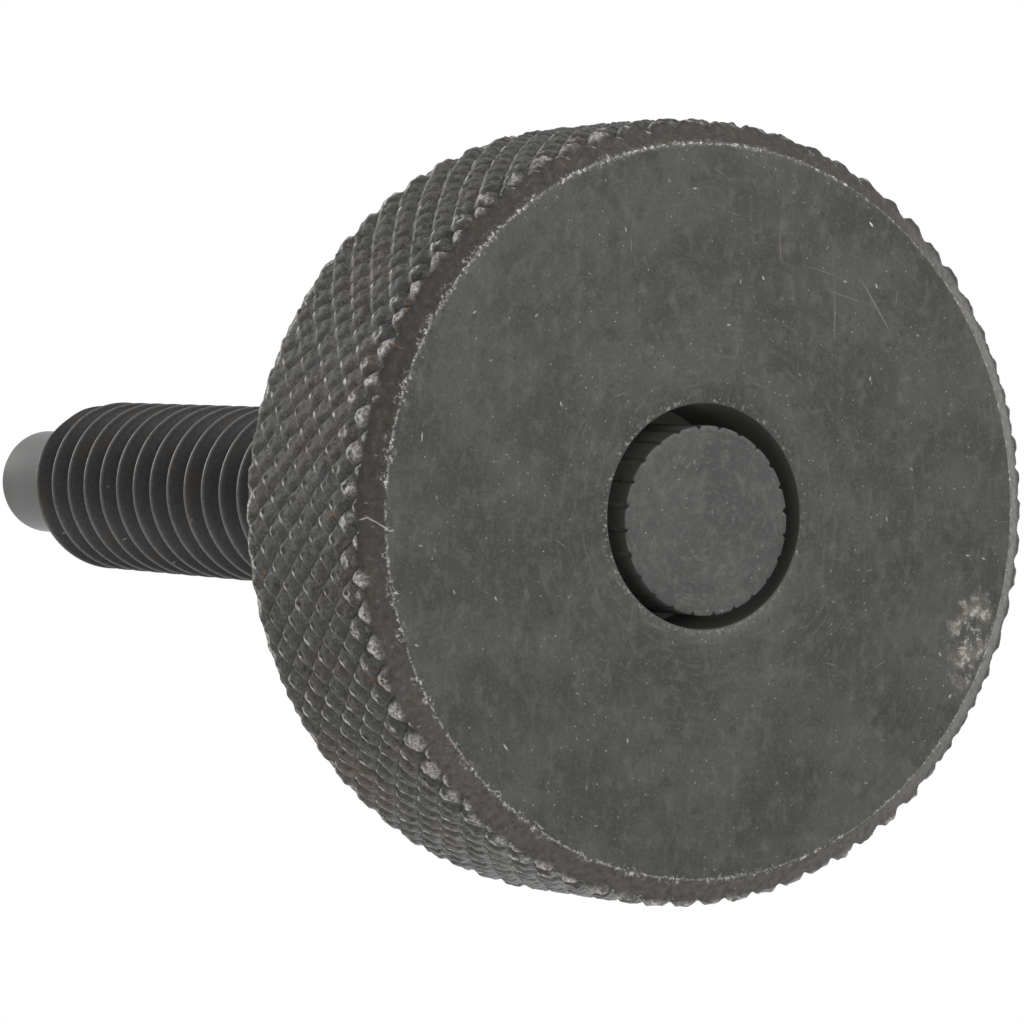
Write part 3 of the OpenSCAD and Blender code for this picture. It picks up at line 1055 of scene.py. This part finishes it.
@dataclass
class ThreadedStud:
    """The stud: a serrated end pressed in the head, a rolled thread and a plain dog point."""

    seat: Seat
    tip_z: float = 37.3
    shank_r: float = 2.288
    shank_top: float = 6.15
    end_z: float = 0.05
    notches: int = 24
    notch_depth: float = 0.09
    crest_r: float = 2.424
    root_r: float = 1.766
    pitch: float = 25.4 / 24
    start: float = math.radians(176)  # turn of the thread round the axis
    thread_z: float = 5.325
    thread_top: float = 33.95
    chamfer_end: float = 33.437
    dog_r: float = 1.5
    dog_round: float = 0.3
    steps: int = 96  # points in one turn
    rows: int = 20  # points in one pitch
    crisp: float = 40.0  # an edge over this many degrees stays crisp

    def profile(self, share: Array) -> Array:
        """Height of the thread over its root.

        Args:
            share: Place along one pitch, from 0 to 1.

        Returns:
            0 on the root to 1 on the crest, with the crest rounded.
        """
        off = np.abs(share - 0.625)
        rise = 1 - (np.minimum(off, 1 - off) - 0.045) / 0.33
        return np.clip(np.where(rise > 0.96, 0.96 + 0.04 * (1 - np.exp(-(rise - 0.96) / 0.04)), rise), 0, 1)

    def thread_radius(self, angle: Array, z: Array) -> tuple[Array, Array]:
        """Radius of the threaded length.

        Args:
            angle: Angle past the thread's start, in radians.
            z: Height along the axis, in millimetres.

        Returns:
            The radius in millimetres, and the height of the thread there from 0 to 1.
        """
        turns = (z - self.thread_z) / self.pitch - angle / (2 * np.pi)
        share = turns - np.floor(turns)
        run_in = np.clip(np.floor(turns) + angle / (2 * np.pi), 0, 1)
        full = self.crest_r - self.root_r
        rise = np.minimum(full * run_in * self.profile(share), np.maximum(self.chamfer_end - z, 0))
        return self.root_r + rise, rise / full

    def end_ring(self, skin: Skin, z: float, inset: float, count: int) -> range:
        """Add a ring of the serrated end.

        Args:
            skin: The skin.
            z: Height of the ring.
            inset: How far it stands in from the shank.
            count: Points round it.

        Returns:
            The numbers of its points.
        """
        angle = spread(count)
        share = (angle + self.start) * self.notches / (2 * np.pi)
        near = np.abs(share - np.floor(share) - 0.5) * 2 * np.pi / self.notches * self.shank_r
        own = np.mod(np.floor(share), self.notches)
        deep = self.notch_depth * (0.75 + 0.25 * np.sin(own * 5.3))
        cut = deep * (1 - ramp(near, 0.0, 0.085 + 0.02 * np.sin(own * 2.9)))
        points = around(angle, self.shank_r - inset - cut, np.full(count, z))
        return skin.ring(points, {Layer.HEIGHT: 1 - cut / self.notch_depth})

    def placed(self, points: Array) -> Array:
        """Turn points to the thread's start and set them over where the stud leans.

        Args:
            points: One row of x, y and z for each point.

        Returns:
            The points in their places.
        """
        c, s = math.cos(self.start), math.sin(self.start)
        turned = points @ np.array([[c, s, 0], [-s, c, 0], [0, 0, 1]])
        turned[:, 0] += self.seat.x + self.seat.slope * turned[:, 2]
        turned[:, 1] += self.seat.y
        return turned

    def serrated_end(self, skin: Skin) -> range:
        """Add the pressed end, from its end face to the top of the shank.

        Args:
            skin: The skin.

        Returns:
            The last ring.
        """
        count = 6 * self.steps
        last = skin.circle(1.2, self.end_z, count)
        skin.cap(last, self.end_z, StudFinish.END, -1)
        inner = (self.shank_r - self.notch_depth - 0.06, self.end_z)
        last = skin.grow(last, (inner,), count, finish=StudFinish.END)
        for z, inset, finish in (
            (self.end_z, 0.03, StudFinish.END),
            (self.end_z + 0.008, 0.012, StudFinish.END),
            (self.end_z + 0.03, 0.0, StudFinish.SIDE),
            (1.3, 0.0, StudFinish.SIDE),
            (self.shank_top, 0.0, StudFinish.SIDE),
        ):
            ring = self.end_ring(skin, z, inset, count)
            skin.join(last, ring, finish)
            last = ring
        return last

    def thread(self, skin: Skin, last: range) -> range:
        """Add the thread: a grid wound along the helix, held between the shank and the dog point.

        Args:
            skin: The skin.
            last: Ring that it starts from.

        Returns:
            The last ring.
        """
        turns = np.arange(self.steps) / self.steps
        angle = spread(self.steps)
        count = int((self.thread_top - self.shank_top) / self.pitch * self.rows) + 2 * self.rows
        base = (self.shank_top - self.thread_z) / self.pitch - 1.2
        base = self.thread_z + round(base * self.rows) / self.rows * self.pitch
        rings = []
        for k in range(count + 1):
            z = np.clip(base + (k / self.rows + turns) * self.pitch, self.shank_top, self.thread_top)
            radius, rise = self.thread_radius(angle, z)
            marks = {Layer.HEIGHT: rise, Layer.WEAR: ramp(rise, 0.97, 0.995)}
            rings.append(skin.ring(around(angle, radius, z), marks))
        skin.join(last, rings[0])
        for k in range(count):
            low, high = rings[k], rings[k + 1]
            skin.faces += [(low[i], low[i + 1], high[i + 1], high[i]) for i in range(self.steps - 1)]
            if k + self.rows + 1 <= count:
                # A row ends a pitch above its start, where the row one turn on begins
                next_low, next_high = rings[k + self.rows][0], rings[k + self.rows + 1][0]
                skin.faces.append((low[-1], next_low, next_high, high[-1]))
        skin.finishes += [StudFinish.THREAD] * (len(skin.faces) - len(skin.finishes))
        return rings[count]

    def dog_point(self, skin: Skin, last: range) -> None:
        """Add the dog point, with its edge rounded.

        Args:
            skin: The skin.
            last: Ring that it starts from.
        """
        round_z, round_r = self.tip_z - self.dog_round, self.dog_r - self.dog_round
        rows = [(self.dog_r + 0.04, self.thread_top), (self.dog_r, self.thread_top + 0.05),
                (self.dog_r, round_z)]
        rows += [(round_r + self.dog_round * math.cos(a), round_z + self.dog_round * math.sin(a))
                 for a in map(math.radians, range(15, 91, 15))]
        last = skin.grow(last, rows, self.steps, finish=StudFinish.POINT)
        skin.cap(last, self.tip_z, StudFinish.POINT)

    def build(self) -> bpy.types.Object:
        """Build and dress the stud.

        Returns:
            The stud.
        """
        skin = Skin()
        self.dog_point(skin, self.thread(skin, self.serrated_end(skin)))
        skin.points = [self.placed(points) for points in skin.points]
        finishes = {
            StudFinish.THREAD: RolledOxide(),
            StudFinish.END: TurnedOxide(name="black_oxide_on_cut_stud_end", base="#4e4e4d", light="#62625f",
                                        stain="#3f3f3e", edge_r=NO_EDGE, mouth_r=NO_EDGE),
            StudFinish.POINT: RolledOxide(name="satin_oxide_on_ground_point", base="#3b3a38",
                                          light="#444341", tint="#3f3a35", roughness=0.4),
            # deep: painted light on the side deep in the counterbore
            StudFinish.SIDE: RolledOxide(name="black_oxide_on_serrated_side", base="#4a4a48",
                                         light="#50504e", tint="#4a4947", deep="#7c7c79", roughness=0.6,
                                         metallic=0.2),
        }
        materials = [finishes[finish].make() for finish in StudFinish]
        made = skin.build("stud_skin", materials, self.crisp)
        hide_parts("threaded_stud")
        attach(made, "root")
        return made


# ---------------------------------------------------------------- studio


@dataclass(frozen=True)
class Lamp:
    """A soft box, placed by the way it lies from the screw."""

    name: str
    towards: tuple[float, float, float]
    level: float  # light that it adds to a matt surface facing it, where 1 shows the colour as written
    size: float = 0.3
    distance: float = 0.4


@dataclass
class Studio:
    """Floor, soft light and camera."""

    middle: tuple[float, float, float] = (0.0, 0.0, 18.5)
    ambient: float = 0.45
    floor_r: float = 600.0
    floor_z: float = -0.05  # a hair under the face that stands on it
    lens: float = 192.407
    camera_at: tuple[float, float, float] = (0.04, -69.6275, -111.2189)
    camera_right: tuple[float, float, float] = (0.031907, 0.865430, -0.500013)
    camera_up: tuple[float, float, float] = (0.999490, -0.027025, 0.017005)
    lamps: tuple[Lamp, ...] = (
        Lamp("key_below", (0.55, 0.35, -0.8), 0.45),
        Lamp("fill_below", (-0.5, -0.6, -0.6), 0.2),
        Lamp("key_above", (0.5, -0.6, 0.8), 0.45),
        Lamp("fill_above", (-0.6, 0.5, 0.6), 0.25),
    )

    def build(self) -> None:
        """Make the world, the lamps, the floor and the camera."""
        self.world()
        for lamp in self.lamps:
            self.lamp(lamp)
        self.floor()
        self.camera()
        bpy.context.scene.view_settings.view_transform = "Standard"

    def world(self) -> None:
        """Plain grey light all round, and white where the camera or a reflection sees it."""
        world = bpy.data.worlds.new("studio")
        bpy.context.scene.world = world
        world.use_nodes = True
        t = world.node_tree
        t.nodes.clear()
        path = add(t, "LightPath").outputs
        seen = Value(path["Is Camera Ray"]) | path["Is Glossy Ray"] | path["Is Transmission Ray"]
        grey = add(t, "Background", {"Color": linear("#ffffff"), "Strength": self.ambient})
        white = add(t, "Background", {"Color": linear("#ffffff"), "Strength": 1.0})
        add(t, "OutputWorld", {0: add(t, "MixShader", {0: seen, 1: grey, 2: white})})

    def lamp(self, lamp: Lamp) -> None:
        """Hang one soft box.

        Args:
            lamp: Its place and level.
        """
        light = bpy.data.lights.new(lamp.name, "AREA")
        light.shape = "DISK"
        light.size = lamp.size
        light.energy = lamp.level * math.pi**2 * lamp.distance**2
        made = bpy.data.objects.new(lamp.name, light)
        way = Vector(lamp.towards).normalized()
        made.location = Vector(self.middle) * MM + way * lamp.distance
        made.rotation_mode = "QUATERNION"
        made.rotation_quaternion = (-way).to_track_quat("-Z", "Y")
        made.visible_camera = False
        bpy.context.scene.collection.objects.link(made)

    def floor(self) -> None:
        """Lay the paper that the screw stands on."""
        skin = Skin()
        skin.cap(skin.circle(self.floor_r, self.floor_z, 64), self.floor_z)
        skin.build("floor_paper", [FloorPaper().make()], 30)

    def camera(self) -> None:
        """Set the camera, which looks up at the head's outer face."""
        data = bpy.data.cameras.new("camera")
        data.lens = self.lens
        data.sensor_width = 36.0
        data.clip_start = 0.01
        data.clip_end = 10.0
        made = bpy.data.objects.new("camera", data)
        made.location = Vector(self.camera_at) * MM
        right, up = Vector(self.camera_right), Vector(self.camera_up)
        made.rotation_mode = "QUATERNION"
        made.rotation_quaternion = Matrix((right, up, right.cross(up))).transposed().to_quaternion()
        bpy.context.scene.collection.objects.link(made)
        bpy.context.scene.camera = made


def report(piece: bpy.types.Object) -> None:
    """Log the size of a piece."""
    size = [round(v / MM, 3) for v in piece.dimensions]
    LOG.info("%s: %d faces, %s mm", piece.name, len(piece.data.polygons), size)


def main() -> None:
    """Build the screw and its studio."""
    logging.basicConfig(level=logging.INFO, format="%(name)s: %(message)s")
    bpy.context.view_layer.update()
    seat = Seat()
    for part in (KnurledHead(seat, Wheels()), ThreadedStud(seat)):
        report(part.build())
    Studio().build()
    bpy.context.view_layer.update()


if __name__ == "__main__":
    main()
